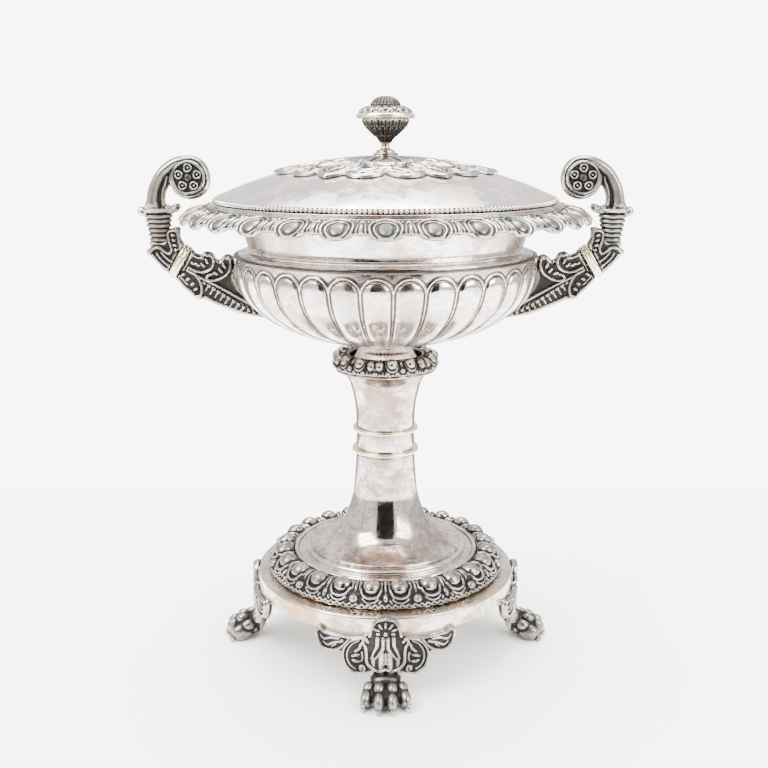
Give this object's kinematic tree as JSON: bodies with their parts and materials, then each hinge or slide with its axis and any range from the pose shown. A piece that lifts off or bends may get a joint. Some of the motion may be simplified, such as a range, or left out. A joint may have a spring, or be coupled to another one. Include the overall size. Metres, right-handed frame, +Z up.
{
  "type": "sugar bowl",
  "caption": "Covered silver sugar bowl: lobed bowl with scroll handles and a lift-off domed lid, on a waisted stem and a round plinth with paw feet.",
  "frame": {"origin": "centre of the footprint on the surface that the four paws stand on", "axes": "+Z up along the turning axis, X along the line through the two handles, -Y towards the front"},
  "size_m": [0.2332, 0.1932, 0.27],
  "materials": {
    "polished_silver": "polished silver with warm tarnish mottling",
    "oxidised_silver": "cast silver, bright on the high spots and dark oxidised in the recesses",
    "gilt_silver": "pale worn gilding",
    "fastener_brass": "plain turned brass"
  },
  "bodies": {
    "bowl": {"bowl_body": "polished_silver", "bowl_foot_collar": "polished_silver", "bowl_ledge": "polished_silver", "bowl_neck": "polished_silver", "capital_border": "oxidised_silver", "foot_back": "oxidised_silver", "foot_bracket_back": "oxidised_silver", "foot_bracket_front": "oxidised_silver", "foot_bracket_left": "oxidised_silver", "foot_bracket_right": "oxidised_silver", "foot_front": "oxidised_silver", "foot_left": "oxidised_silver", "foot_nuts": "fastener_brass", "foot_right": "oxidised_silver", "handle_bracket_left": "oxidised_silver", "handle_bracket_right": "oxidised_silver", "handle_collar_left": "gilt_silver", "handle_collar_right": "gilt_silver", "handle_horn_left": "oxidised_silver", "handle_horn_right": "oxidised_silver", "handle_pins": "fastener_brass", "handle_stem_left": "oxidised_silver", "handle_stem_right": "oxidised_silver", "plinth_bead_ring": "polished_silver", "plinth_leaf_border": "oxidised_silver", "plinth_moulding": "polished_silver", "plinth_shell": "polished_silver", "rim_border": "oxidised_silver", "rim_plate": "polished_silver", "rim_seat_ring": "polished_silver", "rosette_left_back": "oxidised_silver", "rosette_left_front": "oxidised_silver", "rosette_right_back": "oxidised_silver", "rosette_right_front": "oxidised_silver", "rosette_rivets": "fastener_brass", "stem_ring_lower": "gilt_silver", "stem_ring_upper": "gilt_silver", "stem_sleeve": "polished_silver", "stem_trumpet": "polished_silver", "stem_upper": "polished_silver", "tie_bridge": "fastener_brass", "tie_nut": "fastener_brass", "tie_rod": "fastener_brass"},
    "lid": {"lid_bead_rim": "polished_silver", "lid_dome": "polished_silver", "lid_bezel": "polished_silver", "lid_mount": "oxidised_silver", "finial_base": "polished_silver", "finial_cup": "oxidised_silver", "finial_ring": "gilt_silver", "finial_dome": "oxidised_silver", "finial_stud": "fastener_brass", "finial_washer": "fastener_brass", "finial_nut": "fastener_brass"}
  },
  "joints": [
    {"name": "lid_lift", "type": "slide", "parent": "bowl", "child": "lid", "axis": [0, 0, 1], "range_m": [0, 0.08]}
  ]
}
